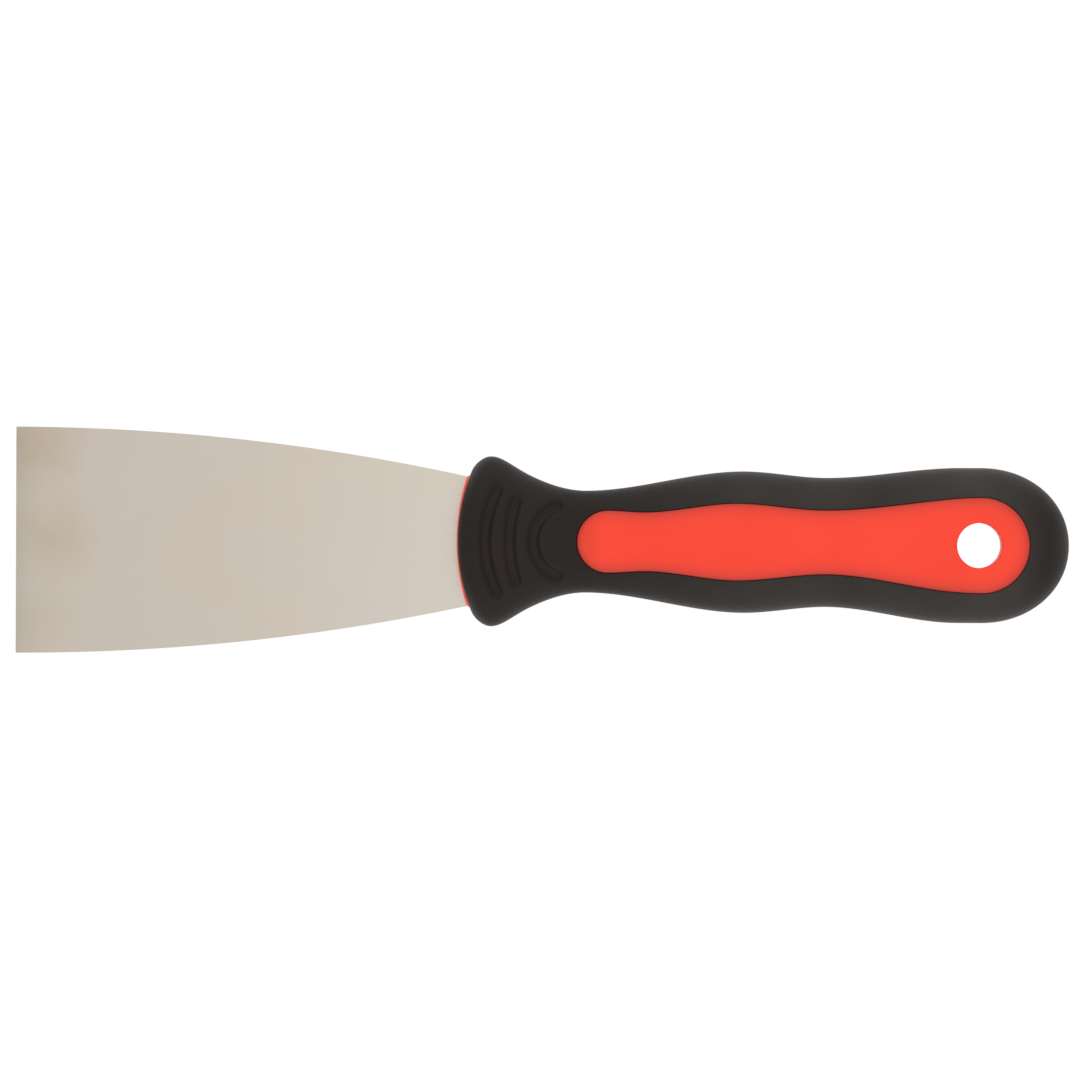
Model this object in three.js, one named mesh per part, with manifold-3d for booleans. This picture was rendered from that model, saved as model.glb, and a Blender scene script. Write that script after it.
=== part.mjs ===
// A flexible putty knife, 50 mm wide at its edge. A stamped spring-steel blade ends in a narrow tang with
// two holes. A hard core is moulded round the tang and through the holes, and a soft grip is moulded over
// the core. The core shows again as a long window on each face of the grip and as a thin lip round the
// blade, and a hang hole goes through both windows.
//
// Millimetres, +Z up. The knife lies flat with its edge at -X and its hang hole at +X. The origin is in
// the plane that the knife lies on, under the middle of its length and width.
//
// The blade bends along its free length. It is split where a rigid leaf on a sprung hinge follows that
// bend best, so blade_leaf and blade_root are one piece of steel.

import * as THREE from 'three';
import Module from 'manifold-3d';
import { LoftGeometry } from 'three/addons/geometries/LoftGeometry.js';
import { mergeVertices } from 'three/addons/utils/BufferGeometryUtils.js';

const wasm = await Module();
wasm.setup();

// ---- Driving dimensions ----

const LENGTH = 232.9;
const THICKNESS = 20.3;
const MID_Z = THICKNESS / 2;
const EDGE_X = -LENGTH / 2;
const BUTT_X = LENGTH / 2;
const GAP = 0.3; // between pieces that touch on the real knife

const BLADE_WIDTH = 50;
const BLADE_THICKNESS = 0.6;
const BLADE_SIDE_RADIUS = 472; // each long side is one arc, square to the edge where it starts
const EDGE_BEVEL = 1.2;
const EDGE_THICKNESS = 0.3;
const FREE_FLEX_SHARE = 0.25; // where the leaf turns, as a share of the blade's free length
const SHOULDER_X = -12.5;
const TANG_WIDTH = 9;
const TANG_END_X = 62;
const TANG_FILLET = 4;
const TANG_HOLES_X = [20, 48];
const TANG_HOLE_RADIUS = 2.5;

const GRIP_FRONT_X = -18.75;
const FRONT_ARC_RADIUS = 39.5; // the collar's front is an arc in plan
const FRONT_ARC_FADE = 24; // how far back the sections keep some of that arc
const FLARE_X = -14.35;
const NOSE_LENGTH = FLARE_X - GRIP_FRONT_X;
const NOSE_HALF_WIDTH = 15.5;
const NOSE_HALF_THICKNESS = 5.9;
const BUTT_CENTRE_X = 97; // behind this the butt is half an oval in plan
const BUTT_POWER = 2.05; // a little squarer than an ellipse
const BUTT_ROUNDING_X = 104; // where the faces start to round off towards the butt
const TAIL_SHIFT = 0.58; // how far the tail sits to the -Y side of the blade's middle line
const TAIL_X = 90; // the whole shift is reached here, and it starts at the tang's end
const GRIP_WALL = 2.5;
const SECTION_POWER = 2.5; // 2 is an ellipse, more is squarer

// Places along the handle as [x, half size, slope]: flare, cone, neck, belly, waist, palm swell.
const HALF_WIDTHS = [
  [FLARE_X, 18.8, 0],
  [-2.9, 14.55, -0.44],
  [9.5, 11.27, 0],
  [44.5, 15.65, 0],
  [62.6, 14.28, 0],
  [92, 17.15, 0],
];
const HALF_THICKNESSES = [
  [FLARE_X, MID_Z, 0],
  [9.5, 7.6, 0],
  [42, 10, 0],
  [62.6, 9.3, 0],
  [90, 10.1, 0],
];

const LIP_STANDOUT = 0.22; // in front of the collar's middle, and more towards the lip's ends
const LIP_FRONT_X = GRIP_FRONT_X - LIP_STANDOUT;
const LIP_FRONT_RADIUS = 45;
const LIP_HALF_WIDTH = 14.6;
const LIP_HALF_THICKNESS = 4.6;
const LIP_POWER = 3;
const LIP_END_X = -15.5;
const CORE_FULL_X = -11;

const WINDOW_START_X = 14.5;
const WINDOW_START_RADIUS = 6.86;
const WINDOW_END_RADIUS = 10.55;
const WINDOW_STANDOUT = 0.4;
const WINDOW_HALF_WIDTHS = [
  [WINDOW_START_X, WINDOW_START_RADIUS, 0],
  [22.5, 6.5, 0],
  [43, 8.49, 0],
  [62.5, 7.06, 0],
  [BUTT_CENTRE_X, WINDOW_END_RADIUS, 0],
];

const HANG_HOLE_X = 96.5;
const HANG_HOLE_RADIUS = 5;

const GROOVE_DEPTH = 0.9;
const GROOVE_WIDTH = 2.3;
const GROOVES = [
  { middleX: -12.8, radius: 24.5, halfSpan: 11.1 },
  { middleX: -7.4, radius: 28, halfSpan: 8.8 },
  { middleX: -2.2, radius: 8.2, halfSpan: 7.7 },
];

const OUTER_RING_POINTS = 32;
const INNER_RING_POINTS = 24;
const STATION_STEP = 6;
const QUARTER_STEPS = 6; // in each quarter of a turn
const CURVE_SEGMENTS = 12;
const MERGE_DISTANCE = 1e-4;

// ---- Curves ----

const clamp = THREE.MathUtils.clamp;
const lerp = THREE.MathUtils.lerp;
const smoothstep = THREE.MathUtils.smoothstep;

// The value at x of the smooth curve that passes through stations of [x, value, slope].
function curveThrough(stations, x) {
  const last = stations.length - 1;
  const inside = clamp(x, stations[0][0], stations[last][0]);
  const end = Math.max(1, stations.findIndex((station) => station[0] >= inside));
  const [x0, y0, slope0] = stations[end - 1];
  const [x1, y1, slope1] = stations[end];
  const span = x1 - x0;
  const t = (inside - x0) / span;
  const rise = t * t * (3 - 2 * t);
  const leave = t * (1 - t) ** 2 * span * slope0;
  const arrive = t * t * (t - 1) * span * slope1;
  return y0 + (y1 - y0) * rise + leave + arrive;
}

// How much of its full size a round end keeps at x: 1 where the rounding starts, 0 at the end. It is an
// ellipse unless the power is more than 2.
function roundedEnd(x, startX, endX, power = 2) {
  const reach = clamp((x - startX) / (endX - startX), 0, 1);
  return (1 - reach ** power) ** (1 / power);
}

function evenSteps(from, to, count) {
  return Array.from({ length: count + 1 }, (_, i) => lerp(from, to, i / count));
}

// Places from one end to the other, no further apart than the step that all long curves use.
function stations(from, to) {
  return evenSteps(from, to, Math.ceil(Math.abs(to - from) / STATION_STEP));
}

function quarterArc(centreX, radius, from, to) {
  return evenSteps(from, to, QUARTER_STEPS).map((angle) => new THREE.Vector2(
    centreX + radius * Math.cos(angle),
    radius * Math.sin(angle),
  ));
}

// A closed outline, symmetric about the knife's length, from the points of its upper half.
function mirroredOutline(upper) {
  const lower = upper.map((point) => new THREE.Vector2(point.x, -point.y)).reverse();
  return [...upper, ...lower];
}

// ---- Solids ----

function solidOf(geometry) {
  const bare = new THREE.BufferGeometry();
  bare.setAttribute('position', geometry.getAttribute('position'));
  bare.setIndex(geometry.getIndex());
  const merged = mergeVertices(bare, MERGE_DISTANCE);
  const corners = merged.index.array;
  const kept = [];
  for (let i = 0; i < corners.length; i += 3) {
    const [a, b, c] = corners.slice(i, i + 3);
    if (a !== b && b !== c && c !== a) {
      kept.push(a, b, c);
    }
  }
  return new wasm.Manifold(new wasm.Mesh({
    numProp: 3,
    vertProperties: new Float32Array(merged.attributes.position.array),
    triVerts: new Uint32Array(kept),
  }));
}

function geometryOf(solid) {
  const mesh = solid.getMesh();
  const geometry = new THREE.BufferGeometry();
  geometry.setAttribute('position', new THREE.BufferAttribute(mesh.vertProperties, 3));
  geometry.setIndex(new THREE.BufferAttribute(mesh.triVerts, 1));
  geometry.computeVertexNormals();
  return geometry;
}

// A flat shape in plan, as a solid between two heights.
function prism(shape, lowZ, highZ) {
  const geometry = new THREE.ExtrudeGeometry(shape, {
    depth: highZ - lowZ,
    bevelEnabled: false,
    curveSegments: CURVE_SEGMENTS,
  });
  return solidOf(geometry.translate(0, 0, lowZ));
}

function throughPrism(shape) {
  return prism(shape, -GAP, THICKNESS + GAP);
}

// ---- Handle ----

// Half the handle's width and thickness at x, with the surface moved in by inset.
function handleSize(x, inset) {
  const nose = roundedEnd(FLARE_X - x, 0, NOSE_LENGTH);
  const butt = roundedEnd(x, BUTT_CENTRE_X, BUTT_X - inset, BUTT_POWER);
  const face = roundedEnd(x, BUTT_ROUNDING_X, BUTT_X - inset);
  const width = lerp(NOSE_HALF_WIDTH, curveThrough(HALF_WIDTHS, x), nose);
  const thickness = lerp(NOSE_HALF_THICKNESS, curveThrough(HALF_THICKNESSES, x), nose);
  return {
    halfWidth: (width - inset) * butt,
    halfThickness: (thickness - inset) * face,
    power: SECTION_POWER,
    frontRadius: FRONT_ARC_RADIUS,
  };
}

// Half the core's width and thickness at x, grown by clearance. The lip is flatter and squarer.
function coreSize(x, clearance) {
  const inside = handleSize(Math.max(x, LIP_END_X), GRIP_WALL - clearance);
  const full = smoothstep(x, LIP_END_X, CORE_FULL_X);
  const behindLip = clamp((x - LIP_FRONT_X) / (LIP_END_X - LIP_FRONT_X), 0, 1);
  return {
    halfWidth: Math.min(inside.halfWidth, LIP_HALF_WIDTH + clearance),
    halfThickness: lerp(LIP_HALF_THICKNESS + clearance, inside.halfThickness, full),
    power: lerp(LIP_POWER, SECTION_POWER, full),
    frontRadius: lerp(LIP_FRONT_RADIUS, FRONT_ARC_RADIUS, behindLip),
  };
}

// One closed section of the handle. Near the front it is bowed forward in plan, as the collar is.
function sectionRing(x, size, pointCount) {
  const fade = clamp(1 - (x - GRIP_FRONT_X) / FRONT_ARC_FADE, 0, 1);
  const bow = (fade * fade) / (2 * size.frontRadius);
  return Array.from({ length: pointCount }, (_, i) => {
    const turn = (2 * Math.PI * i) / pointCount;
    const across = Math.cos(turn);
    const up = Math.sin(turn);
    const y = size.halfWidth * Math.sign(across) * Math.abs(across) ** (2 / size.power);
    const z = size.halfThickness * Math.sign(up) * Math.abs(up) ** (2 / size.power);
    return new THREE.Vector3(x + bow * y * y, y, MID_Z + z);
  });
}

function loftedSolid(places, sizeAt, pointCount) {
  const rings = places.map((x) => sectionRing(x, sizeAt(x), pointCount));
  return solidOf(new LoftGeometry(rings, { capStart: true }));
}

// Places for the handle's sections from startX, closer together where the butt rounds off.
function stationsFrom(startX, inset) {
  const butt = evenSteps(0, Math.PI / 2, QUARTER_STEPS).slice(1);
  const buttX = butt.map((angle) => lerp(BUTT_CENTRE_X, BUTT_X - inset, Math.sin(angle)));
  return [...stations(startX, BUTT_CENTRE_X), ...buttX];
}

function handleSolid(inset) {
  const nose = evenSteps(0, Math.PI / 2, QUARTER_STEPS).slice(0, -1);
  const noseStations = nose.map((angle) => FLARE_X - NOSE_LENGTH * Math.cos(angle));
  const places = [...noseStations, ...stationsFrom(FLARE_X, inset)];
  return loftedSolid(places, (x) => handleSize(x, inset), OUTER_RING_POINTS);
}

function coreBody(frontX, clearance) {
  const lip = [frontX, LIP_END_X, (LIP_END_X + CORE_FULL_X) / 2];
  const places = [...lip, ...stationsFrom(CORE_FULL_X, GRIP_WALL - clearance)];
  return loftedSolid(places, (x) => coreSize(x, clearance), INNER_RING_POINTS);
}

// The outline of the red window, in plan.
function windowShape(clearance) {
  const end = quarterArc(BUTT_CENTRE_X, WINDOW_END_RADIUS + clearance, 0, Math.PI / 2);
  const sideX = stations(BUTT_CENTRE_X, WINDOW_START_X).slice(1, -1);
  const side = sideX.map((x) => new THREE.Vector2(x, curveThrough(WINDOW_HALF_WIDTHS, x) + clearance));
  const start = quarterArc(WINDOW_START_X, WINDOW_START_RADIUS + clearance, Math.PI / 2, Math.PI);
  return new THREE.Shape(mirroredOutline([...end, ...side, ...start]));
}

function hangHole() {
  return throughPrism(new THREE.Shape().absarc(HANG_HOLE_X, 0, HANG_HOLE_RADIUS, 0, 2 * Math.PI));
}

// One groove in plan: a band of an arc that bulges towards the blade, with round ends.
function grooveShape({ middleX, radius, halfSpan }) {
  const centreX = middleX + radius;
  const sweep = Math.asin(halfSpan / radius);
  const from = Math.PI - sweep;
  const to = Math.PI + sweep;
  const half = GROOVE_WIDTH / 2;
  const endX = centreX - radius * Math.cos(sweep);
  const shape = new THREE.Shape();
  shape.absarc(centreX, 0, radius + half, from, to, false);
  shape.absarc(endX, -halfSpan, half, to, to + Math.PI, false);
  shape.absarc(centreX, 0, radius - half, to, from, true);
  shape.absarc(endX, halfSpan, half, from + Math.PI, from + 2 * Math.PI, false);
  return shape;
}

// ---- Blade ----

function bladeHalfWidth(x) {
  const run = x - EDGE_X;
  return BLADE_WIDTH / 2 - BLADE_SIDE_RADIUS + Math.sqrt(BLADE_SIDE_RADIUS ** 2 - run ** 2);
}

// The blade between two places on its length, with the arcs of its sides.
function bladeHalfOutline(fromX, toX, clearance) {
  return stations(toX, fromX).map((x) => new THREE.Vector2(x, bladeHalfWidth(x) + clearance));
}

// The blade from startX back, with the shoulders, the tang and its holes.
function rootShape(startX, clearance) {
  const halfTang = TANG_WIDTH / 2 + clearance;
  const tangEndX = TANG_END_X + clearance;
  const shoulderX = SHOULDER_X + clearance;
  const fillet = TANG_FILLET - clearance;
  const neck = evenSteps(0, Math.PI / 2, QUARTER_STEPS).map((angle) => new THREE.Vector2(
    shoulderX + fillet * (1 - Math.sin(angle)),
    halfTang + fillet * (1 - Math.cos(angle)),
  ));
  const tip = quarterArc(tangEndX - halfTang, halfTang, 0, Math.PI / 2);
  const half = [...tip, ...neck, ...bladeHalfOutline(startX, shoulderX, clearance)];
  const shape = new THREE.Shape(mirroredOutline(half));
  for (const holeX of TANG_HOLES_X) {
    shape.holes.push(new THREE.Path().absarc(holeX, 0, TANG_HOLE_RADIUS - clearance, 0, 2 * Math.PI));
  }
  return shape;
}

const FLEX_X = lerp(LIP_FRONT_X, EDGE_X, FREE_FLEX_SHARE);

// The blade's side view as a solid as wide as the knife: flat faces, and a bevel at the edge.
function bladeBlank() {
  const half = BLADE_THICKNESS / 2;
  const profile = new THREE.Shape([
    new THREE.Vector2(EDGE_X, EDGE_THICKNESS / 2),
    new THREE.Vector2(EDGE_X, -EDGE_THICKNESS / 2),
    new THREE.Vector2(EDGE_X + EDGE_BEVEL, -half),
    new THREE.Vector2(0, -half),
    new THREE.Vector2(0, half),
    new THREE.Vector2(EDGE_X + EDGE_BEVEL, half),
  ]);
  const geometry = new THREE.ExtrudeGeometry(profile, { depth: 2 * BLADE_WIDTH, bevelEnabled: false });
  geometry.translate(0, 0, -BLADE_WIDTH).rotateX(Math.PI / 2).translate(0, 0, MID_Z);
  return solidOf(geometry);
}

function bladeLeaf() {
  const upper = bladeHalfOutline(EDGE_X, FLEX_X - GAP / 2, 0);
  return throughPrism(new THREE.Shape(mirroredOutline(upper))).intersect(bladeBlank());
}

function bladeRoot() {
  const half = BLADE_THICKNESS / 2;
  return prism(rootShape(FLEX_X + GAP / 2, 0), MID_Z - half, MID_Z + half);
}

// ---- Core and grip ----

function withTailShifted(solid) {
  return solid.warp((point) => {
    point[1] -= TAIL_SHIFT * smoothstep(point[0], TANG_END_X, TAIL_X);
  });
}

function handleCore() {
  const crowned = handleSolid(-WINDOW_STANDOUT);
  const slab = prism(windowShape(0), 0, THICKNESS); // the crowns are flat where they meet this height
  const windows = slab.intersect(crowned);
  const halfSlot = BLADE_THICKNESS / 2 + GAP;
  const tangSlot = prism(rootShape(FLEX_X, GAP), MID_Z - halfSlot, MID_Z + halfSlot);
  const core = coreBody(LIP_FRONT_X, 0).add(windows).subtract(tangSlot).subtract(hangHole());
  return withTailShifted(core);
}

function gripOvermould() {
  const cavity = coreBody(GRIP_FRONT_X - GRIP_WALL, GAP).add(throughPrism(windowShape(GAP)));
  const grooveFloor = handleSolid(GROOVE_DEPTH);
  const shell = handleSolid(0).subtract(cavity);
  const cuts = GROOVES.map((groove) => throughPrism(grooveShape(groove)).subtract(grooveFloor));
  return withTailShifted(cuts.reduce((solid, cut) => solid.subtract(cut), shell));
}

// ---- The knife ----

const springSteel = new THREE.MeshStandardMaterial({ color: 0xcbc1b3, roughness: 0.38, metalness: 0.9 });
const redPlastic = new THREE.MeshStandardMaterial({ color: 0xfb4d38, roughness: 0.45, metalness: 0 });
const blackRubber = new THREE.MeshStandardMaterial({ color: 0x322d2a, roughness: 0.75, metalness: 0 });

const group = new THREE.Group();

function addPart(name, solid, material) {
  const mesh = new THREE.Mesh(geometryOf(solid), material);
  mesh.name = name;
  group.add(mesh);
}

addPart('blade_leaf', bladeLeaf(), springSteel);
addPart('blade_root', bladeRoot(), springSteel);
addPart('handle_core', handleCore(), redPlastic);
addPart('grip_overmould', gripOvermould(), blackRubber);

export default group;
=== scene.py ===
"""The looks of a flexible putty knife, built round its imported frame.

Three pieces: one springy steel blade with its tang, an orange-red hard core that shows as a window
on each face and as a lip round the blade, and a black soft grip moulded over the core. Shapes are
worked out in millimetres in the frame's own axes, X from the blade's edge to the hang hole and Z up
through the faces, and turned into metres when a mesh is made. Each mesh is built as its upper half
about the knife's middle plane, mirrored to make the lower half.
"""

import math

import bmesh
import bpy
import numpy as np
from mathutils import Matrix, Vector


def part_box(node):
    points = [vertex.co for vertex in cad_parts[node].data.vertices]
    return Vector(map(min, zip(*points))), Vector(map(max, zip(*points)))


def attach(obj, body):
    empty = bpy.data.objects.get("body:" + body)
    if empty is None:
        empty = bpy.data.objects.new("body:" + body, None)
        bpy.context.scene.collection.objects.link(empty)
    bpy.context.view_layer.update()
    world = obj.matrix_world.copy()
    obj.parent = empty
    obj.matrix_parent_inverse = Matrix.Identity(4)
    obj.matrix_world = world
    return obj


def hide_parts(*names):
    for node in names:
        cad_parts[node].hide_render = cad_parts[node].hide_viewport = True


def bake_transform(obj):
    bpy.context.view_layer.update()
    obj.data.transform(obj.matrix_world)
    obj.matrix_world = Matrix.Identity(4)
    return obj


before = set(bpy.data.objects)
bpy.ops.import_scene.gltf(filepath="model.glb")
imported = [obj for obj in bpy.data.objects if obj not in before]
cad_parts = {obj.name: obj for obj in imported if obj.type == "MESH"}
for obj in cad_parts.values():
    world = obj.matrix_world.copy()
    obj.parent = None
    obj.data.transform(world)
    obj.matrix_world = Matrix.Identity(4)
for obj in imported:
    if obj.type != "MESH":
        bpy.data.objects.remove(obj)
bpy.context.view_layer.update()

MM = 0.001


def node_box(node):
    """The lowest and highest corners of a CAD node, in millimetres."""
    low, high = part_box(node)
    return low / MM, high / MM


# ---- Sizes taken from the frame ----

LEAF_LOW, LEAF_HIGH = node_box("blade_leaf")
_, ROOT_HIGH = node_box("blade_root")
CORE_LOW, CORE_HIGH = node_box("handle_core")
GRIP_LOW, GRIP_HIGH = node_box("grip_overmould")

EDGE_X = LEAF_LOW.x
BUTT_X = GRIP_HIGH.x
GRIP_FRONT_X = GRIP_LOW.x
LIP_FRONT_X = CORE_LOW.x
TANG_END_X = ROOT_HIGH.x
MID_Z = (GRIP_LOW.z + GRIP_HIGH.z) / 2
FACE_HEIGHT = CORE_HIGH.z - MID_Z
COLLAR_HALF_WIDTH = GRIP_HIGH.y
BLADE_HALF_WIDTH = LEAF_HIGH.y
BLADE_HALF_THICKNESS = (LEAF_HIGH.z - LEAF_LOW.z) / 2

# ---- Shape of the blade ----

BLADE_SIDE_RADIUS = 472  # each long side is one arc, square to the edge where it starts
EDGE_BEVEL = 1.2
EDGE_HALF_THICKNESS = 0.15
SIDE_CHAMFER = 0.04
SHOULDER_X = -12.5
TANG_HALF_WIDTH = 4.5
TANG_FILLET = 4
TANG_HOLES_X = (20, 48)
TANG_HOLE_RADIUS = 2.5
SLOT_CHAMFER = 0.01
PIN_HALF_HEIGHT = 2  # of the cutters that make the tang's holes

# ---- Shape of the handle ----

FLARE_X = -14.35  # where the collar is widest
FRONT_ARC_RADIUS = 39.5  # the collar's front is an arc in plan
FRONT_ARC_FADE = 24  # how far back the sections keep some of that arc
NOSE_HALF_WIDTH = 15.5
NOSE_HALF_THICKNESS = 5.9
BUTT_CENTRE_X = 97  # behind this the butt is half an oval in plan
BUTT_ROUNDING_X = 104  # where the faces start to round off towards the butt
BUTT_POWER = 2.05  # the butt's outline is a little squarer than an ellipse
TAIL_SHIFT = 0.58  # how far the tail sits to the -Y side of the blade's middle line
TAIL_X = 90  # the whole shift is reached here, and it starts at the tang's end
GRIP_WALL = 2.5
SECTION_POWER = 2.5  # 2 is an ellipse, more is squarer
TYPICAL_X = 45  # a section from the middle of the handle
# Stations along the handle: X, half size and slope.
HALF_WIDTHS = (
    (FLARE_X, COLLAR_HALF_WIDTH, 0),
    (-2.9, 14.55, -0.44),
    (9.5, 11.27, 0),
    (44.5, 15.65, 0),
    (62.6, 14.28, 0),
    (92, 17.15, 0),
)
HALF_THICKNESSES = (
    (FLARE_X, MID_Z, 0),
    (9.5, 7.6, 0),
    (42, 10, 0),
    (62.6, 9.3, 0),
    (90, 10.1, 0),
)

LIP_HALF_WIDTH = 14.6
LIP_HALF_THICKNESS = 4.6
LIP_POWER = 3
LIP_FRONT_RADIUS = 45
LIP_ROUNDING = 0.6  # the lip rounds down over this length, and in at its ends
LIP_DROP = 2.4  # how far its front comes down towards the blade
LIP_END_X = -15.5
CORE_FULL_X = -11  # from here back the core fills the grip
MOULD_GAP = 0.06  # what the eye sees as the joint line between core and grip

WINDOW_START_X = 14.5  # the window's two ends are arcs round this X and round BUTT_CENTRE_X
WINDOW_START_RADIUS = 6.86
WINDOW_END_RADIUS = 10.55
WINDOW_STANDOUT = 0.4
SHOULDER_LENGTH = 2.0  # the red face rounds down over this length to its edge
SHOULDER_HEIGHT = 0.55
RIM_LENGTH = 0.4  # the grip rounds down over this length to the window
RIM_HEIGHT = 0.25
WINDOW_HALF_WIDTHS = (
    (WINDOW_START_X, WINDOW_START_RADIUS, 0),
    (22.5, 6.5, 0),
    (43, 8.49, 0),
    (62.5, 7.06, 0),
    (BUTT_CENTRE_X, WINDOW_END_RADIUS, 0),
)
HANG_HOLE_X = 96.5
HANG_HOLE_RADIUS = 5
HOLE_ROUNDING = 0.5

# Painted shade: the red face is darkened beside the joint round it, for the shade in the crease there,
# and a little where it nears the collar, for the collar's shade.
PAINTED_SHADE_REACH = 1.2  # it falls to about a third this far in from the joint
PAINTED_SHADE_BY_COLLAR = 0.32
PAINTED_SHADE_COLLAR_FADE = (9.5, 14)  # between these X it clears
PAINTED_SHADE_ATTRIBUTE = "painted_shade"  # of the core's mesh, which its material reads

GROOVE_DEPTH = 1.05
GROOVE_SHALLOW_SHARE = 0.7  # of that depth, on the side towards the blade
GROOVE_HALF_WIDTH = 1.15
GROOVE_SOFTNESS = 0.75
# Where each groove crosses the collar's middle, its radius, and how far it reaches each way.
GROOVES = ((-12.8, 24.5, 11.1), (-7.4, 28, 8.8), (-2.2, 8.2, 7.7))

# ---- Mesh fineness ----

FAN_X = 6.0  # the collar's rings end here and the bands round the window begin
TURN_STEPS = 128  # over one face
SIDE_STEPS = 90
HOLE_STEPS = 10  # the last of the side's steps, which turn round the front of the hang hole
BUTT_STEPS = 56
NOSE_STEPS = 12
LIP_STEPS = 6
COLLAR_STEP = 0.2  # between the grip's outer rings, fine enough for the grooves
CAVITY_RINGS = 12
CORE_RINGS = 40
BLADE_STEP = 1.5
BLADE_COLUMNS = 28
BEVEL_PLACES = (0, 0.05, 0.3, 0.7, EDGE_BEVEL)  # from the working edge
FILLET_STEPS = 8
TANG_STEPS = 20
TANG_END_STEPS = 8
PIN_STEPS = 32
JUST_PAST = 0.001  # a step this short makes a square corner
CURVE_SAMPLES = 4001
SLOPE_STEP = 0.1
TINY = 1e-6
WELD = 2e-6  # metres
SHARP_ANGLE = 40  # degrees


# ---- Curves ----


def lerp(a, b, t):
    return a + (b - a) * t


def clamp(value, low=0.0, high=1.0):
    return min(max(value, low), high)


def smoothstep(value, low, high):
    t = clamp((value - low) / (high - low))
    return t * t * (3 - 2 * t)


def even_steps(start, end, count):
    return [lerp(start, end, i / count) for i in range(count + 1)]


def curve_through(stations, x):
    """The value at x of the smooth curve through stations of (x, value, slope)."""
    x = clamp(x, stations[0][0], stations[-1][0])
    pairs = zip(stations, stations[1:])
    (x0, y0, slope0), (x1, y1, slope1) = next(pair for pair in pairs if x <= pair[1][0])
    span = x1 - x0
    t = (x - x0) / span
    rise = (y1 - y0) * t * t * (3 - 2 * t)
    return y0 + rise + span * (slope0 * t * (1 - t) ** 2 + slope1 * t * t * (t - 1))


def rounded_end(x, start, end, power=2.0):
    """How much of its full size an elliptic end keeps at x: 1 where rounding starts, 0 at the end."""
    reach = clamp((x - start) / (end - start))
    return (1 - reach**power) ** (1 / power)


# ---- The handle's surface ----


def handle_size(x, inset=0.0):
    """The handle's section at x, with its surface moved in by inset.

    A section is its half width, its half thickness, its power and the radius of its front arc.
    """
    nose = rounded_end(FLARE_X - x, 0, FLARE_X - GRIP_FRONT_X)
    butt = rounded_end(x, BUTT_CENTRE_X, BUTT_X - inset, BUTT_POWER)
    face = rounded_end(x, BUTT_ROUNDING_X, BUTT_X - inset)
    width = lerp(NOSE_HALF_WIDTH, curve_through(HALF_WIDTHS, x), nose)
    thickness = lerp(NOSE_HALF_THICKNESS, curve_through(HALF_THICKNESSES, x), nose)
    return (width - inset) * butt, (thickness - inset) * face, SECTION_POWER, FRONT_ARC_RADIUS


def core_size(x, clearance=0.0):
    """The core's section at x, grown by clearance. The lip is flatter and squarer than the rest."""
    width, thickness, _, _ = handle_size(max(x, LIP_END_X), GRIP_WALL - clearance)
    if x < FAN_X:  # in the collar it is no wider than the lip
        width = min(width, LIP_HALF_WIDTH + clearance)
    full = smoothstep(x, LIP_END_X, CORE_FULL_X)
    behind_lip = clamp((x - LIP_FRONT_X) / (LIP_END_X - LIP_FRONT_X))
    return (
        width,
        lerp(LIP_HALF_THICKNESS + clearance, thickness, full),
        lerp(LIP_POWER, SECTION_POWER, full),
        lerp(LIP_FRONT_RADIUS, FRONT_ARC_RADIUS, behind_lip),
    )


def lip_and_core_size(x):
    """The core's section at x, with the lip's front rounded over."""
    width, thickness, power, front_radius = core_size(x)
    cut = edge_rounding(x - LIP_FRONT_X, LIP_ROUNDING, 1)
    return width - cut * LIP_ROUNDING, thickness - cut * LIP_DROP, power, front_radius


def cavity_size(x):
    """The section at x of the space in the grip that the core fills."""
    width, thickness, power, _ = core_size(x, MOULD_GAP)
    return width, thickness, power, FRONT_ARC_RADIUS


def front_bow(x, radius):
    """How strongly the sections near the collar's front are bowed towards the blade in plan."""
    fade = clamp(1 - (x - GRIP_FRONT_X) / FRONT_ARC_FADE)
    return fade * fade / (2 * radius)


def even_turns():
    """Angles round a quarter of a typical section that step evenly along its outline."""
    angles = np.linspace(0, math.pi / 2, CURVE_SAMPLES)
    width, thickness, power, _ = handle_size(TYPICAL_X)
    y = width * np.cos(angles) ** (2 / power)
    z = thickness * np.sin(angles) ** (2 / power)
    lengths = np.concatenate(([0], np.cumsum(np.hypot(np.diff(y), np.diff(z)))))
    return angles, lengths / lengths[-1]


TURN_ANGLES, TURN_SHARES = even_turns()


def across_and_up(share, power=SECTION_POWER):
    """A section's point, in half widths and half thicknesses. Share 0 is the side, 1 the crown."""
    angle = np.interp(share, TURN_SHARES, TURN_ANGLES)
    return max(math.cos(angle), 0.0) ** (2 / power), math.sin(angle) ** (2 / power)


def share_at(across):
    """The share round the section at which it has come in to this share of its half width."""
    angle = math.acos(clamp(across) ** (SECTION_POWER / 2))
    return float(np.interp(angle, TURN_ANGLES, TURN_SHARES))


def section_point(x, turn, size):
    """A point of the upper face. Turn is 0 at the +Y side, 1 at the crown and 2 at the -Y side."""
    width, thickness, power, front_radius = size
    across, up = across_and_up(turn if turn <= 1 else 2 - turn, power)
    y = math.copysign(width * across, 1 - turn)
    return Vector((x + front_bow(x, front_radius) * y * y, y, thickness * up))


def face_height(y, size):
    """How high a section's upper face is above the middle plane at y."""
    width, thickness, power, _ = size
    if width < TINY:
        return 0.0
    return thickness * max(0.0, 1 - (abs(y) / width) ** power) ** (1 / power)


# ---- The window's outline ----


def window_half_width(x):
    return curve_through(WINDOW_HALF_WIDTHS, x)


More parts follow.
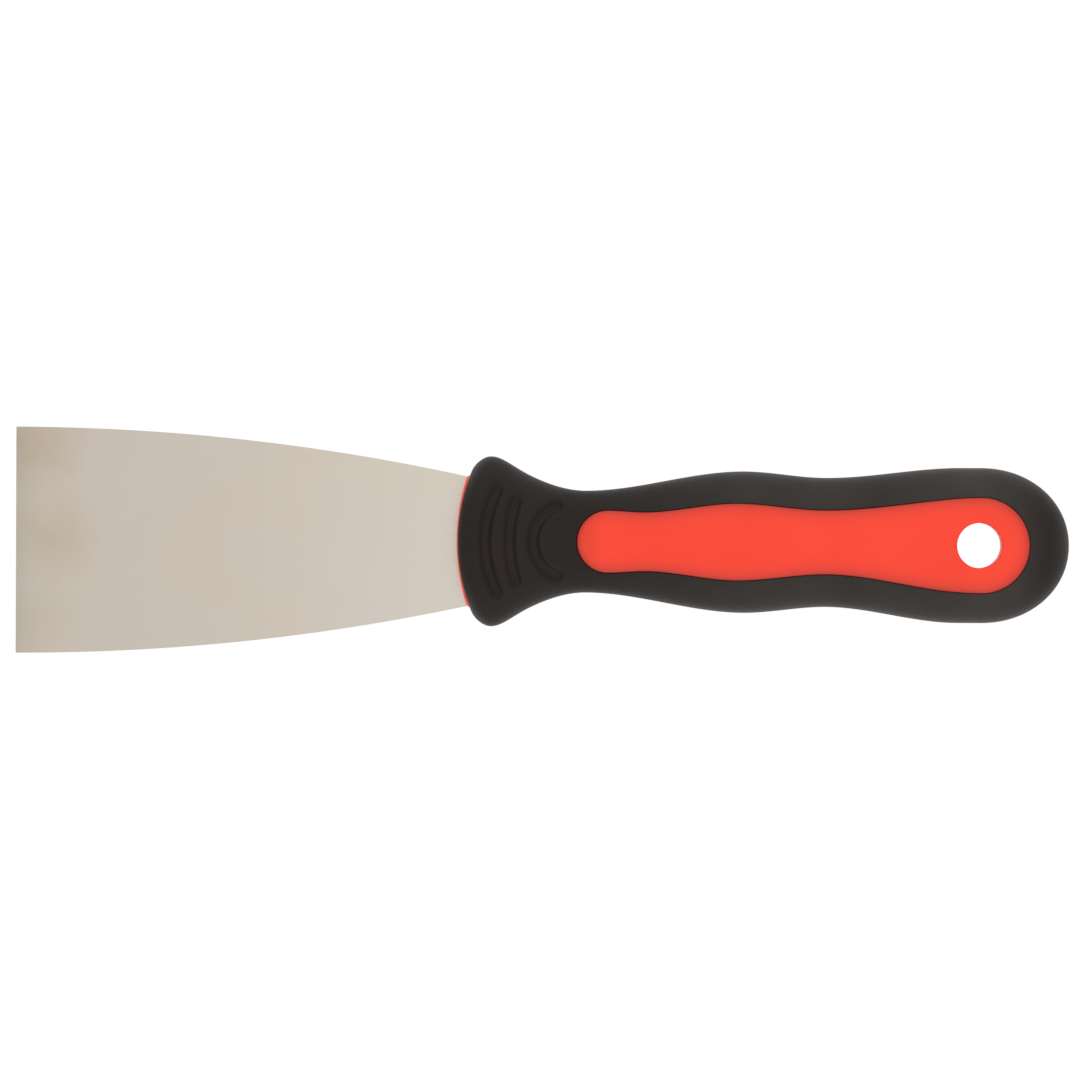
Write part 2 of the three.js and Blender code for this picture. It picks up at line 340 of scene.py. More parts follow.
def window_inset(x, y):
    """How far inside the window's outline a point is, in plan. It is negative outside."""
    if x < WINDOW_START_X:
        return WINDOW_START_RADIUS - math.hypot(x - WINDOW_START_X, y)
    if x > BUTT_CENTRE_X:
        return WINDOW_END_RADIUS - math.hypot(x - BUTT_CENTRE_X, y)
    rise = window_half_width(x + SLOPE_STEP) - window_half_width(x - SLOPE_STEP)
    return (window_half_width(x) - abs(y)) / math.hypot(1, rise / (2 * SLOPE_STEP))


def edge_rounding(distance, length, height):
    """How far a rounded edge falls below its face, at a distance in from the edge."""
    return height * (1 - rounded_end(length - distance, 0, length))


# ---- Meshes ----


def add_grid(points, faces, grid):
    """Adds a grid of points, as rows of equal length, to a mesh's points and faces."""
    start, columns = len(points), len(grid[0])
    points += [point for row in grid for point in row]
    for row in range(len(grid) - 1):
        for column in range(columns - 1):
            corner = start + row * columns + column
            faces.append((corner, corner + 1, corner + columns + 1, corner + columns))


def flipped(grid):
    """The same grid on the other side of the knife's middle plane."""
    return [[Vector((point.x, point.y, -point.z)) for point in row] for row in grid]


def on_middle_plane(row):
    return [Vector((point.x, point.y, 0)) for point in row]


def tail_shift(x):
    """How far the knife at x is moved towards -Y."""
    return TAIL_SHIFT * smoothstep(x, TANG_END_X, TAIL_X)


def placed(point):
    """A point in the frame, in metres: raised to the knife's middle plane and moved with the tail."""
    return (point.x * MM, (point.y - tail_shift(point.x)) * MM, (point.z + MID_Z) * MM)


def mesh_object(name, grids):
    """One closed, smooth mesh from grids that share their edges."""
    points, faces = [], []
    for grid in grids:
        add_grid(points, faces, grid)
    mesh = bpy.data.meshes.new(name)
    mesh.from_pydata([placed(point) for point in points], [], faces)
    piece = bpy.data.objects.new(name, mesh)
    bpy.context.scene.collection.objects.link(piece)
    close_mesh(piece)
    return piece


def close_mesh(piece):
    """Welds a piece's points, turns its faces outwards and smooths all but its sharp edges."""
    mesh = piece.data
    work = bmesh.new()
    work.from_mesh(mesh)
    bmesh.ops.remove_doubles(work, verts=work.verts, dist=WELD)
    bmesh.ops.recalc_face_normals(work, faces=work.faces)
    work.to_mesh(mesh)
    work.free()
    mesh.shade_smooth()
    mesh.set_sharp_from_angle(angle=math.radians(SHARP_ANGLE))


def cut_out(piece, cutter):
    """Cuts another closed mesh out of a piece, and removes the cutter."""
    modifier = piece.modifiers.new("cut", "BOOLEAN")
    modifier.operation = "DIFFERENCE"
    modifier.solver = "EXACT"
    modifier.object = cutter
    bpy.context.view_layer.update()
    evaluated = piece.evaluated_get(bpy.context.evaluated_depsgraph_get())
    mesh = bpy.data.meshes.new_from_object(evaluated)
    piece.modifiers.clear()
    piece.data = mesh
    bpy.data.objects.remove(cutter)
    close_mesh(piece)


# ---- Bands round the window, shared by the core and by the grip's outside and inside ----

# Rows are shares of the way from the window to the knife's side. The outer ones are close together
# where the grip's rim rounds over.
RIM_ROWS = [0, 0.006, 0.013, 0.021, 0.031, 0.045, 0.065, 0.095]
OUTER_ROWS = RIM_ROWS + even_steps(0.13, 1, 22)
HIDDEN_ROWS = even_steps(0, 1, 4)


def fan_rim(gap):
    """The window's start arc from +Y to -Y: each place with how far round the section it leads to."""
    rim = []
    for turn in even_steps(0, 2, TURN_STEPS):
        angle = math.pi / 2 * (1 + turn)
        radius = WINDOW_START_RADIUS + gap
        rim.append((WINDOW_START_X + radius * math.cos(angle), radius * math.sin(angle), turn))
    return rim


def fan_grid(size_at, gap, rows):
    """From the window's start arc forward to the collar's last ring."""
    rim = []
    for x, y, turn in fan_rim(gap):
        share = share_at(abs(y) / size_at(x)[0])
        rim.append((x, share if turn <= 1 else 2 - share, turn))
    grid = []
    for way in rows:
        steps = [(lerp(x, FAN_X, way), lerp(start, end, way)) for x, start, end in rim]
        grid.append([section_point(x, turn, size_at(x)) for x, turn in steps])
    return grid


def side_grid(size_at, gap, rows, side):
    """From the window's long side to the knife's side. Side is 1 at +Y and -1 at -Y."""
    columns = []
    for step in even_steps(0, 1, SIDE_STEPS):
        x = lerp(WINDOW_START_X, BUTT_CENTRE_X, step)
        share = share_at((window_half_width(x) + gap) / size_at(x)[0])
        columns.append((x, lerp(FAN_X, BUTT_CENTRE_X, step), share))
    grid = []
    for way in rows:
        row = []
        for start_x, end_x, share in columns:
            x = lerp(start_x, end_x, way)
            turn = share * (1 - way)
            row.append(section_point(x, turn if side > 0 else 2 - turn, size_at(x)))
        grid.append(row)
    return grid


def butt_grid(size_at, gap, inset, rows):
    """From the window's end arc to the butt."""
    length = BUTT_X - inset - BUTT_CENTRE_X
    width = size_at(BUTT_CENTRE_X)[0]
    grid = []
    for way in rows:
        row = []
        for angle in even_steps(math.pi / 2, -math.pi / 2, BUTT_STEPS):
            shares = (abs(math.cos(angle)) / length, abs(math.sin(angle)) / width)
            reach = sum(share**BUTT_POWER for share in shares) ** (-1 / BUTT_POWER)
            share = share_at((WINDOW_END_RADIUS + gap) / reach) * (1 - way)
            radius = reach * across_and_up(share)[0]
            x = BUTT_CENTRE_X + radius * math.cos(angle)
            y = radius * math.sin(angle)
            row.append(Vector((x, y, face_height(y, size_at(x)))))
        grid.append(row)
    return grid


def bands(size_at, gap, inset, rows):
    """All the surface of one face behind the collar, outside the window."""
    return (
        fan_grid(size_at, gap, rows),
        side_grid(size_at, gap, rows, 1),
        side_grid(size_at, gap, rows, -1),
        butt_grid(size_at, gap, inset, rows),
    )


def rings(places, size_at):
    """Whole upper sections, one at each place along the knife."""
    turns = even_steps(0, 2, TURN_STEPS)
    return [[section_point(x, turn, size_at(x)) for turn in turns] for x in places]


def joined(upper_edges, lower_edges):
    """The walls between pairs of edges."""
    return [[upper, lower] for upper, lower in zip(upper_edges, lower_edges)]


# ---- Grip ----


def groove_depth(x, y):
    """How deep the grooves are at a place in plan. Each is deepest on its side away from the blade."""
    depth = 0.0
    for middle_x, radius, reach in GROOVES:
        centre_x = middle_x + radius
        end_x = centre_x - math.sqrt(radius * radius - reach * reach)
        inwards = radius - math.hypot(x - centre_x, y)
        beyond_end = abs(y) * (centre_x - end_x) > reach * (centre_x - x)
        distance = math.hypot(x - end_x, abs(y) - reach) if beyond_end else abs(inwards)
        low = GROOVE_HALF_WIDTH - GROOVE_SOFTNESS
        high = GROOVE_HALF_WIDTH + GROOVE_SOFTNESS
        across = clamp(0.5 + inwards / (2 * GROOVE_HALF_WIDTH))
        floor = GROOVE_DEPTH * lerp(GROOVE_SHALLOW_SHARE, 1, across)
        depth = max(depth, floor * (1 - smoothstep(distance, low, high)))
    return depth


def with_relief(grid):
    """The grip's outside with its grooves, and its rim rounded over into the window."""
    for row in grid:
        for point in row:
            outside = -window_inset(point.x, point.y) - MOULD_GAP
            point.z -= groove_depth(point.x, point.y)
            point.z -= edge_rounding(max(outside, 0), RIM_LENGTH, RIM_HEIGHT)
    return grid


def collar_places():
    """Where the grip's outer rings are, from its front back to where the bands start."""
    nose_length = FLARE_X - GRIP_FRONT_X
    angles = even_steps(0, math.pi / 2, NOSE_STEPS)
    nose = [FLARE_X - nose_length * math.cos(angle) for angle in angles]
    rest = even_steps(FLARE_X, FAN_X, round((FAN_X - FLARE_X) / COLLAR_STEP))
    return nose + rest[1:]


def build_grip():
    outside = with_relief(rings(collar_places(), handle_size))
    inside = rings(even_steps(GRIP_FRONT_X, FAN_X, CAVITY_RINGS), cavity_size)
    outer_bands = [with_relief(grid) for grid in bands(handle_size, MOULD_GAP, 0, OUTER_ROWS)]
    inner_bands = bands(cavity_size, MOULD_GAP, GRIP_WALL - MOULD_GAP, HIDDEN_ROWS)
    window_walls = joined([grid[0] for grid in outer_bands], [grid[0] for grid in inner_bands])
    grids = [outside, inside, [outside[0], inside[0]], *outer_bands, *inner_bands, *window_walls]
    return mesh_object("grip", grids + [flipped(grid) for grid in grids])


# ---- Core ----


def hole_point(angle):
    """A place on the hang hole's edge, in plan."""
    return HANG_HOLE_X + HANG_HOLE_RADIUS * math.cos(angle), HANG_HOLE_RADIUS * math.sin(angle)


def window_height(x, y):
    """The red face: it stands a little proud of the grip, with rounded shoulders and a flat crown."""
    height = min(face_height(y, handle_size(x, -WINDOW_STANDOUT)), FACE_HEIGHT)
    height -= edge_rounding(max(window_inset(x, y), 0), SHOULDER_LENGTH, SHOULDER_HEIGHT)
    to_hole = math.hypot(x - HANG_HOLE_X, y) - HANG_HOLE_RADIUS
    return height - edge_rounding(max(to_hole, 0), HOLE_ROUNDING, HOLE_ROUNDING)


# The red face's rows, as shares of the way in from its outline to the middle. They are close
# together where it rounds over at its shoulder and at the hole.
SHOULDER_ROWS = [0, 0.008, 0.02, 0.04, 0.065, 0.095, 0.13, 0.175, 0.23]
HOLE_ROWS = [0.93, 0.95, 0.965, 0.978, 0.99, 1]
FACE_ROWS = SHOULDER_ROWS + even_steps(0.3, 0.9, 8) + HOLE_ROWS


def face_grid(columns):
    """Part of the red face. Each column is a place on its outline and the place it leads in to."""
    grid = []
    for way in FACE_ROWS:
        row = []
        for (edge_x, edge_y), (middle_x, middle_y) in columns:
            x = lerp(edge_x, middle_x, way)
            y = lerp(edge_y, middle_y, way)
            row.append(Vector((x, y, window_height(x, y))))
        grid.append(row)
    return grid


def start_columns():
    """From the start arc to the face's spine, which starts half way into the arc."""
    return [((x, y), (lerp(WINDOW_START_X, x, 0.5), 0.0)) for x, y, _ in fan_rim(0)]


def side_columns(side):
    """From one long side to the spine and then to the front of the hang hole."""
    columns = []
    spine_steps = SIDE_STEPS - HOLE_STEPS
    hole_front = HANG_HOLE_X - HANG_HOLE_RADIUS
    for i in range(SIDE_STEPS + 1):
        if i > spine_steps:
            round_hole = (i - spine_steps) / HOLE_STEPS
            middle = hole_point(side * (math.pi - math.pi / 2 * round_hole))
        else:
            middle = (lerp(WINDOW_START_X, hole_front, i / spine_steps), 0.0)
        x = lerp(WINDOW_START_X, BUTT_CENTRE_X, i / SIDE_STEPS)
        columns.append(((x, side * window_half_width(x)), middle))
    return columns


def end_columns():
    """From the end arc to the back of the hang hole."""
    columns = []
    for angle in even_steps(math.pi / 2, -math.pi / 2, BUTT_STEPS):
        x = BUTT_CENTRE_X + WINDOW_END_RADIUS * math.cos(angle)
        y = WINDOW_END_RADIUS * math.sin(angle)
        columns.append(((x, y), hole_point(angle)))
    return columns


def painted_shade_at(x, y):
    """How much painted shade the core gets: most at the window's edge, and none under the grip."""
    inset = window_inset(x, y)
    if inset < -MOULD_GAP:
        return 0.0
    by_collar = PAINTED_SHADE_BY_COLLAR * (1 - smoothstep(x, *PAINTED_SHADE_COLLAR_FADE))
    return max(math.exp(-max(inset, 0) / PAINTED_SHADE_REACH), by_collar)


def mark_painted_shade(core):
    """Keeps the painted shade at each point of the mesh, for the material to read."""
    places = [(point.co.x / MM, point.co.y / MM) for point in core.data.vertices]
    painted_shade = core.data.attributes.new(PAINTED_SHADE_ATTRIBUTE, "FLOAT", "POINT")
    painted_shade.data.foreach_set("value", [painted_shade_at(x, y + tail_shift(x)) for x, y in places])


def core_places():
    """Where the core's rings are, from the lip's front back to where the bands start."""
    angles = even_steps(0, math.pi / 2, LIP_STEPS)
    lip = [LIP_FRONT_X + LIP_ROUNDING * (1 - math.cos(angle)) for angle in angles]
    return lip + even_steps(lip[-1], FAN_X, CORE_RINGS)[1:]


def build_core(blade_slot):
    all_columns = (start_columns(), side_columns(1), side_columns(-1), end_columns())
    faces = [face_grid(columns) for columns in all_columns]
    hidden = bands(core_size, 0, GRIP_WALL, HIDDEN_ROWS)
    collar = rings(core_places(), lip_and_core_size)
    front = [collar[0], on_middle_plane(collar[0])]
    window_walls = joined([grid[0] for grid in faces], [grid[0] for grid in hidden])
    hole_edges = [faces[1][-1][-HOLE_STEPS - 1 :], faces[2][-1][-HOLE_STEPS - 1 :], faces[3][-1]]
    hole = [[edge, on_middle_plane(edge)] for edge in hole_edges]
    grids = [*faces, *hidden, collar, front, *window_walls, *hole]
    core = mesh_object("core", grids + [flipped(grid) for grid in grids])
    cut_out(core, blade_slot)
    mark_painted_shade(core)
    return core


# ---- Blade ----


def blade_half_width(x):
    """Half the blade's width at x, then its shoulders, tang and the tang's round end."""
    if x <= SHOULDER_X:
        run = x - EDGE_X
        return BLADE_HALF_WIDTH - BLADE_SIDE_RADIUS + math.sqrt(BLADE_SIDE_RADIUS**2 - run * run)
    if x < SHOULDER_X + TANG_FILLET:
        away = (SHOULDER_X + TANG_FILLET - x) / TANG_FILLET
        return TANG_HALF_WIDTH + TANG_FILLET * (1 - math.sqrt(1 - away * away))
    return TANG_HALF_WIDTH * rounded_end(x, TANG_END_X - TANG_HALF_WIDTH, TANG_END_X)


def blade_half_thickness(x):
    return lerp(EDGE_HALF_THICKNESS, BLADE_HALF_THICKNESS, clamp((x - EDGE_X) / EDGE_BEVEL))


def blade_stations():
    """Where the blade's rows are, from its working edge to the tang's end."""
    edge = [EDGE_X + place for place in BEVEL_PLACES]
    count = round((SHOULDER_X - edge[-1]) / BLADE_STEP)
    free = even_steps(edge[-1], SHOULDER_X, count)[1:]
    neck = even_steps(SHOULDER_X + JUST_PAST, SHOULDER_X + TANG_FILLET, FILLET_STEPS)
    tang = even_steps(neck[-1], TANG_END_X - TANG_HALF_WIDTH, TANG_STEPS)[1:]
    angles = even_steps(0, math.pi / 2, TANG_END_STEPS)[1:]
    end = [TANG_END_X - TANG_HALF_WIDTH * (1 - math.sin(angle)) for angle in angles]
    return edge + free + neck + tang + end


def blade_solid(name, clearance, chamfer):
    """The blade as one closed sheet, or the slot that it leaves when it is grown by clearance."""
    upper, side = [], []
    for x in blade_stations():
        width = blade_half_width(x) + clearance
        thickness = blade_half_thickness(x) + clearance
        cut = min(chamfer, width / 2)
        places = even_steps(width - cut, cut - width, BLADE_COLUMNS)
        row = [Vector((x, y, thickness)) for y in places]
        upper.append(row)
        side.append([Vector((x, width, 0)), Vector((x, width, thickness - cut)), row[0]])
    other_side = [[Vector((point.x, -point.y, point.z)) for point in row] for row in side]
    ends = []
    for end in (0, -1):
        line = [side[end][1], *upper[end], other_side[end][1]]
        ends.append([line, on_middle_plane(line)])
    grids = [upper, side, other_side, *ends]
    return mesh_object(name, grids + [flipped(grid) for grid in grids])


def tang_pin(x, radius):
    """A short round cutter that stands through the tang at x."""
    angles = even_steps(0, 2 * math.pi, PIN_STEPS)
    ring = [(x + radius * math.cos(angle), radius * math.sin(angle)) for angle in angles]
    heights = (-PIN_HALF_HEIGHT, PIN_HALF_HEIGHT)
    wall = [[Vector((*place, z)) for place in ring] for z in heights]
    lids = [[row, [Vector((x, 0, row[0].z))] * len(row)] for row in wall]
    return mesh_object("pin", [wall, *lids])


def build_blade():
    blade = blade_solid("blade", 0, SIDE_CHAMFER)
    for x in TANG_HOLES_X:
        cut_out(blade, tang_pin(x, TANG_HOLE_RADIUS))
    return blade


def build_slot():
    """The room that the blade takes in the core, which stands through the tang's holes."""
    slot = blade_solid("slot", MOULD_GAP, SLOT_CHAMFER)
    for x in TANG_HOLES_X:
        cut_out(slot, tang_pin(x, TANG_HOLE_RADIUS - MOULD_GAP))
    return slot


# ---- Materials ----


def new_material(name):
    """A node material, its Principled shader and the surface's place in its object, in metres."""
    material = bpy.data.materials.new(name)
    material.use_nodes = True
    nodes = material.node_tree.nodes
    shader = nodes["Principled BSDF"]
    place = nodes.new("ShaderNodeTexCoord").outputs["Object"]
    return material, shader, place


def noise(material, place, scale, detail=3.0, stretch=(1, 1, 1)):
    """A noise pattern in the object's own coordinates: scale is in features per metre."""
    tree = material.node_tree
    mapping = tree.nodes.new("ShaderNodeMapping")
    mapping.inputs["Scale"].default_value = stretch
    pattern = tree.nodes.new("ShaderNodeTexNoise")
    pattern.inputs["Scale"].default_value = scale
    pattern.inputs["Detail"].default_value = detail
    tree.links.new(place, mapping.inputs["Vector"])
    tree.links.new(mapping.outputs["Vector"], pattern.inputs["Vector"])
    return pattern.outputs["Fac"]


def between(material, factor, low, high, start=0.3, end=0.7):
    """Turns a pattern's range from start to end into numbers from low to high."""
    tree = material.node_tree
    spread = tree.nodes.new("ShaderNodeMapRange")
    spread.inputs["From Min"].default_value = start
    spread.inputs["From Max"].default_value = end
    spread.inputs["To Min"].default_value = low
    spread.inputs["To Max"].default_value = high
    tree.links.new(factor, spread.inputs["Value"])
    return spread.outputs["Result"]


def coloured(material, factor, stops):
    """Turns a number of 0 to 1 into a colour, through at least two stops of (number, colour)."""
    tree = material.node_tree
    node = tree.nodes.new("ShaderNodeValToRGB")
    ramp = node.color_ramp
    for place, _ in stops[2:]:
        ramp.elements.new(place)
    for element, (place, colour) in zip(ramp.elements, stops):
        element.position = place
        element.color = (*colour, 1)
    tree.links.new(factor, node.inputs["Fac"])
    return node.outputs["Color"]


def combined(material, operation, first, second):
    """Two numbers put together by a maths operation."""
    tree = material.node_tree
    node = tree.nodes.new("ShaderNodeMath")
    node.operation = operation
    tree.links.new(first, node.inputs[0])
    tree.links.new(second, node.inputs[1])
    return node.outputs["Value"]


def tinted(material, colour, tint):
    """One colour multiplied by another."""
    tree = material.node_tree
    node = tree.nodes.new("ShaderNodeMix")
    node.data_type = "RGBA"
    node.blend_type = "MULTIPLY"
    node.inputs["Factor"].default_value = 1.0
    first, second = [socket for socket in node.inputs if socket.type == "RGBA"]
    tree.links.new(colour, first)
    tree.links.new(tint, second)
    return next(socket for socket in node.outputs if socket.type == "RGBA")


def smudge(material, place, centre, radius, strength):
    """A soft round patch, as strong as this at its centre and 0 beyond its radius."""
    tree = material.node_tree
    away = tree.nodes.new("ShaderNodeVectorMath")
    away.operation = "DISTANCE"
    away.inputs[1].default_value = Vector(centre) * MM
    tree.links.new(place, away.inputs[0])
    distance = away.outputs["Value"]
    return between(material, distance, low=strength, high=0, start=0, end=radius * MM)


def share_along(material, place, axis, start, end):
    """How far along an axis the surface is: 0 at start and 1 at end, both in millimetres."""
    tree = material.node_tree
    parts = tree.nodes.new("ShaderNodeSeparateXYZ")
    tree.links.new(place, parts.inputs["Vector"])
    distance = parts.outputs[axis]
    return between(material, distance, low=0, high=1, start=start * MM, end=end * MM)


def parting_line(material, place, half_width):
    """1 on the knife's middle plane, where the mould's halves met, and 0 beyond half_width from it."""
    below = share_along(material, place, "Z", MID_Z - half_width, MID_Z)
    above = share_along(material, place, "Z", MID_Z + half_width, MID_Z)
    return combined(material, "MULTIPLY", below, above)


def add_bump(material, shader, height, distance, strength=1.0):
    """Adds a bump this high, in millimetres, to the shader, on top of any that it has."""
    tree = material.node_tree
    bump = tree.nodes.new("ShaderNodeBump")
    bump.inputs["Distance"].default_value = distance * MM
    bump.inputs["Strength"].default_value = strength
    tree.links.new(height, bump.inputs["Height"])
    for link in shader.inputs["Normal"].links:
        tree.links.new(link.from_socket, bump.inputs["Normal"])
    tree.links.new(bump.outputs["Normal"], shader.inputs["Normal"])


STEEL_TONE_AND_PAINTED_LIGHT = (  # from the working edge at 0 to the handle at 1; it lightens towards the handle, painted light that makes up for the collar's shade on the steel
    (0.0, (0.499, 0.46, 0.408)),
    (0.03, (0.546, 0.497, 0.433)),
    (0.06, (0.568, 0.516, 0.446)),
    (0.15, (0.575, 0.513, 0.45)),
    (0.5, (0.598, 0.535, 0.474)),
    (1.0, (0.66, 0.598, 0.518)),
)
STEEL_CLOUDS = ((0.35, (0.985, 1, 1.02)), (0.65, (1, 0.985, 0.96)))
STAIN_COLOURS = ((0.05, (1, 1, 1)), (0.7, (0.9, 0.835, 0.755)))
# Faint brown stains by the working edge: how far from it, how far across, radius and strength.
STAINS = ((3, 22, 15, 1), (6.5, 1, 14, 0.7), (3, -17, 14, 0.45))


def spring_steel():
    """Satin ground steel with fine lines along it, faint brown stains near the working edge, and
    painted light that lightens it towards the handle.
    """
    material, shader, place = new_material("spring_steel")
    tree = material.node_tree
    lines = noise(material, place, scale=60, detail=4, stretch=(1, 90, 1))
    clouds = noise(material, place, scale=35, detail=2)
    blotches = noise(material, place, scale=160)
    along = share_along(material, place, "X", EDGE_X, LIP_FRONT_X)
    # Painted light: the colour lightens along the blade towards the handle.
    colour = coloured(material, along, STEEL_TONE_AND_PAINTED_LIGHT)
    colour = tinted(material, colour, coloured(material, clouds, STEEL_CLOUDS))
    patchy = between(material, blotches, low=0.6, high=1)
    for from_edge, across, radius, strength in STAINS:
        patch = smudge(material, place, (EDGE_X + from_edge, across, MID_Z), radius, strength)
        stained = combined(material, "MULTIPLY", patch, patchy)
        colour = tinted(material, colour, coloured(material, stained, STAIN_COLOURS))
    shader.inputs["Metallic"].default_value = 1.0
    tree.links.new(colour, shader.inputs["Base Color"])
    tree.links.new(between(material, lines, low=0.26, high=0.31), shader.inputs["Roughness"])
    add_bump(material, shader, lines, distance=0.01, strength=0.15)
    return material


RED_COLOURS = ((0.3, (0.95, 0.046, 0.0155)), (0.7, (0.985, 0.0495, 0.018)))
# Painted shade: how far the red darkens where the core's mesh gives it full shade.
PAINTED_SHADE_TINTS = ((0, (1, 1, 1)), (1, (0.45, 0.45, 0.45)))


def red_plastic():
    """Hard orange-red moulding with a very fine texture, darkened with painted shade where the core's
    mesh says so.
    """
    material, shader, place = new_material("red_plastic")
    tree = material.node_tree
    clouds = noise(material, place, scale=60, detail=2)
    grain = noise(material, place, scale=2200, detail=2)
    # The core's attribute darkens the red with painted shade by the joint and by the collar.
    painted_shade = tree.nodes.new("ShaderNodeAttribute")
    painted_shade.attribute_name = PAINTED_SHADE_ATTRIBUTE
    unshaded_red = coloured(material, clouds, RED_COLOURS)
    shade_tint = coloured(material, painted_shade.outputs["Fac"], PAINTED_SHADE_TINTS)
    tree.links.new(tinted(material, unshaded_red, shade_tint), shader.inputs["Base Color"])
    tree.links.new(between(material, grain, low=0.4, high=0.5), shader.inputs["Roughness"])
    shader.inputs["Specular IOR Level"].default_value = 0.4
    add_bump(material, shader, grain, distance=0.02, strength=0.4)
    return material


PARTING_HALF_WIDTH = 0.3
PARTING_HEIGHT = 0.12
SHADED_RUBBER_TONE = (0.009, 0.0045, 0.0025)  # the rubber's tone where its painted shade is strongest
LIT_RUBBER_TONE = (0.034, 0.027, 0.024)  # the rubber's tone where its painted light is strongest
RUBBER_PAINTED_LIGHT = (  # shares of the way from the collar to the butt, and how far the painted light takes the tone there
    (0.05, 0.08),
    (0.13, 0.18),
    (0.2, 0.02),
    (0.325, 0.27),
    (0.48, 0.68),
    (0.72, 0.68),
    (0.835, 1.0),
    (0.9, 0.9),
    (0.97, 0.12),
)
RUBBER_CLOUDS = ((0.3, (0.82, 0.82, 0.82)), (0.7, (1.18, 1.18, 1.18)))


def black_rubber():
    """Soft matt overmould with a fine texture, painted light and shade along its length, and the
    mould's parting line round its sides.
    """
    material, shader, place = new_material("black_rubber")
    tree = material.node_tree
    clouds = noise(material, place, scale=80)
    grain = noise(material, place, scale=2600)
    along = share_along(material, place, "X", GRIP_FRONT_X, BUTT_X)
    # Painted light and shade: along the handle the tone goes between these two, lighter where it is to
    # look lit and darker where it is to look shaded.
    shaded_tone, lit_tone = Vector(SHADED_RUBBER_TONE), Vector(LIT_RUBBER_TONE)
    colours = [(share, shaded_tone.lerp(lit_tone, lit_share)) for share, lit_share in RUBBER_PAINTED_LIGHT]
    colour = coloured(material, along, colours)
    colour = tinted(material, colour, coloured(material, clouds, RUBBER_CLOUDS))
    tree.links.new(colour, shader.inputs["Base Color"])
    tree.links.new(between(material, grain, low=0.46, high=0.6), shader.inputs["Roughness"])
    shader.inputs["Specular IOR Level"].default_value = 0.24
    line = parting_line(material, place, PARTING_HALF_WIDTH)
    add_bump(material, shader, line, distance=PARTING_HEIGHT)
    add_bump(material, shader, grain, distance=0.06, strength=0.6)
    return material


# ---- Stage ----

SIGHT_WIDTH = 238.9  # what the frame takes in across, at the height of the blade
SIGHT_X = -0.55  # the camera looks straight down on this X and Y
SIGHT_Y = 0.32
SIGHT_TURN = 0.2  # degrees
CAMERA_HEIGHT = 4000  # above the blade
SENSOR_WIDTH = 36
FLOOR_Z = -37
FLOOR_HALF_SIZE = 20000
TENT_OVERHEAD = 1.0
TENT_ENDS = 0.78  # low down, towards the knife's two ends
TENT_SIDES = 0.5  # added half way up, over its two long sides
TENT_FOOT = 0.25  # added where the tent meets the floor, so that no dark line shows there


def add_camera():
    """A camera high over the knife, looking straight down."""
    data = bpy.data.cameras.new("camera")
    data.sensor_width = SENSOR_WIDTH
    data.lens = SENSOR_WIDTH * CAMERA_HEIGHT / SIGHT_WIDTH
    camera = bpy.data.objects.new("camera", data)
    camera.location = Vector((SIGHT_X, SIGHT_Y, MID_Z + CAMERA_HEIGHT)) * MM
    camera.rotation_euler = (0, 0, math.radians(SIGHT_TURN))
    bpy.context.scene.collection.objects.link(camera)
    bpy.context.scene.camera = camera


def add_floor():
    """A plain white floor, bright enough to carry no shadow."""
    mesh = bpy.data.meshes.new("floor")
    half = FLOOR_HALF_SIZE
    corners = ((-half, -half), (half, -half), (half, half), (-half, half))
    points = [Vector((x, y, FLOOR_Z)) * MM for x, y in corners]
    mesh.from_pydata(points, [], [(0, 1, 2, 3)])
    floor = bpy.data.objects.new("floor", mesh)
    bpy.context.scene.collection.objects.link(floor)
    material, shader, _ = new_material("floor_white")
    shader.inputs["Base Color"].default_value = (0, 0, 0, 1)
    shader.inputs["Specular IOR Level"].default_value = 0
    shader.inputs["Emission Color"].default_value = (1, 1, 1, 1)
    shader.inputs["Emission Strength"].default_value = 1.0
    mesh.materials.append(material)


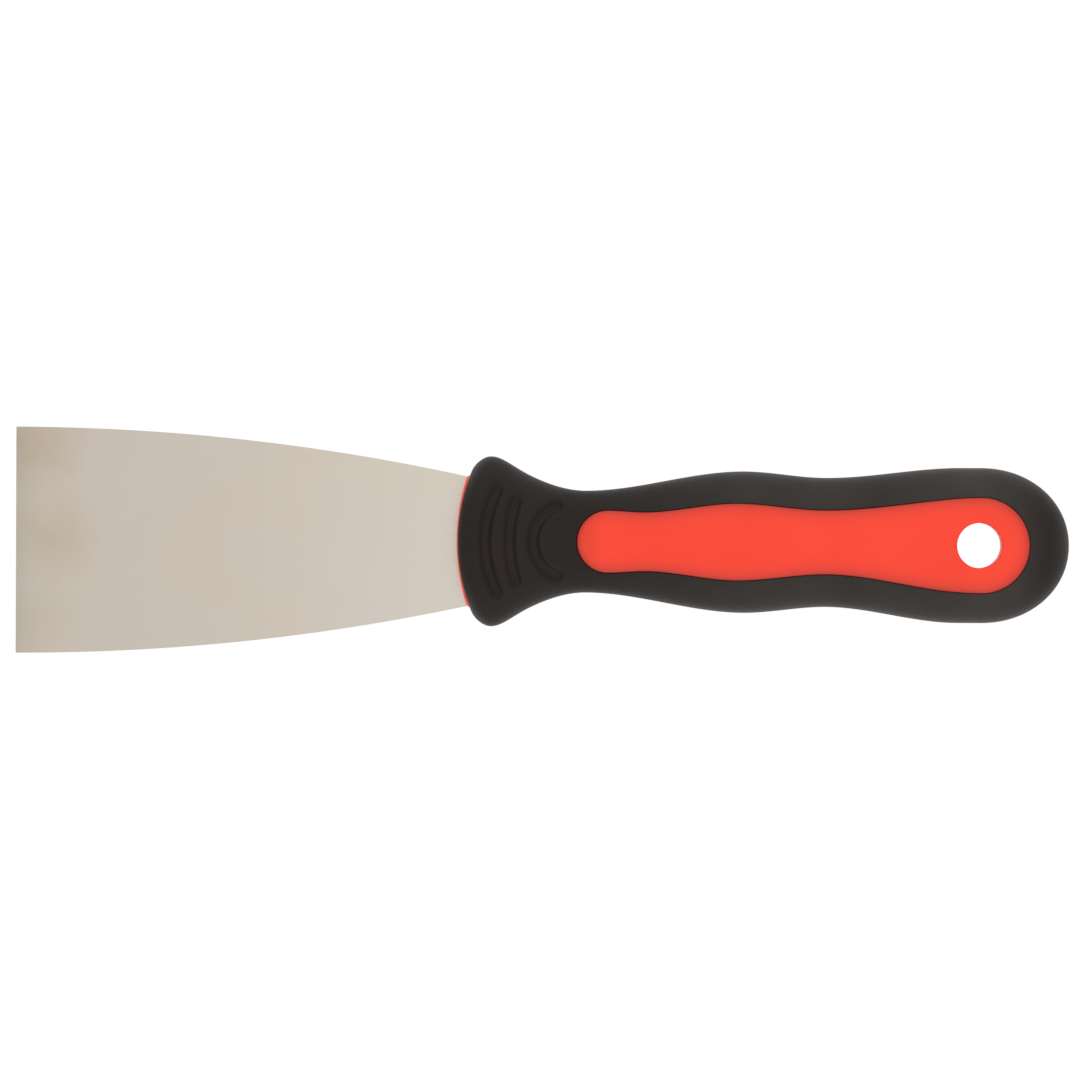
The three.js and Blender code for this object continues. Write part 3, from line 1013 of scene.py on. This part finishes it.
def add_world():
    """A white light tent with a long soft light over each side of the knife.

    Its brightness depends on the direction alone: X, Y and Z of a direction of length 1.
    """
    world = bpy.data.worlds.new("studio")
    world.use_nodes = True
    tree = world.node_tree
    towards = tree.nodes.new("ShaderNodeSeparateXYZ")
    direction = tree.nodes.new("ShaderNodeTexCoord").outputs["Generated"]
    tree.links.new(direction, towards.inputs["Vector"])

    def maths(operation, *inputs):
        node = tree.nodes.new("ShaderNodeMath")
        node.operation = operation
        for socket, value in zip(node.inputs, inputs):
            tree.links.new(value, socket)
        return node.outputs["Value"]

    def fade(value, start, end, low, high):
        node = tree.nodes.new("ShaderNodeMapRange")
        node.interpolation_type = "SMOOTHSTEP"
        node.inputs["From Min"].default_value = start
        node.inputs["From Max"].default_value = end
        node.inputs["To Min"].default_value = low
        node.inputs["To Max"].default_value = high
        tree.links.new(value, node.inputs["Value"])
        return node.outputs["Result"]

    endways = maths("ABSOLUTE", towards.outputs["X"])
    sideways = maths("SUBTRACT", maths("ABSOLUTE", towards.outputs["Y"]), endways)
    upwards = towards.outputs["Z"]
    tent = fade(endways, start=0.3, end=1, low=TENT_OVERHEAD, high=TENT_ENDS)
    foot = fade(maths("ABSOLUTE", upwards), start=0.03, end=0.12, low=TENT_FOOT, high=0)
    side_lights = fade(sideways, start=0.2, end=0.8, low=0, high=TENT_SIDES)
    raised = fade(upwards, start=0, end=0.5, low=0, high=1)
    strength = maths("ADD", maths("ADD", tent, foot), maths("MULTIPLY", side_lights, raised))
    background = tree.nodes["Background"]
    background.inputs["Color"].default_value = (1, 1, 1, 1)
    tree.links.new(strength, background.inputs["Strength"])
    bpy.context.scene.world = world


# ---- The knife ----


def place_pieces():
    """Builds the three pieces, gives each its material, ties the core and the grip to the frame's
    handle body and hides the frame's own parts.
    """
    blade = build_blade()
    core = build_core(build_slot())
    grip = build_grip()
    for piece, material, slot in (
        (blade, spring_steel(), "blade_steel"),
        (core, red_plastic(), "core_plastic"),
        (grip, black_rubber(), "grip_rubber"),
    ):
        piece.data.materials.clear()
        piece.data.materials.append(material)
    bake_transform(blade)
    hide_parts("blade_leaf", "blade_root")
    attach(core, "handle")
    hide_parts("handle_core")
    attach(grip, "handle")
    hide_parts("grip_overmould")


bpy.context.scene.view_settings.view_transform = "Standard"
add_camera()
add_world()
add_floor()
place_pieces()
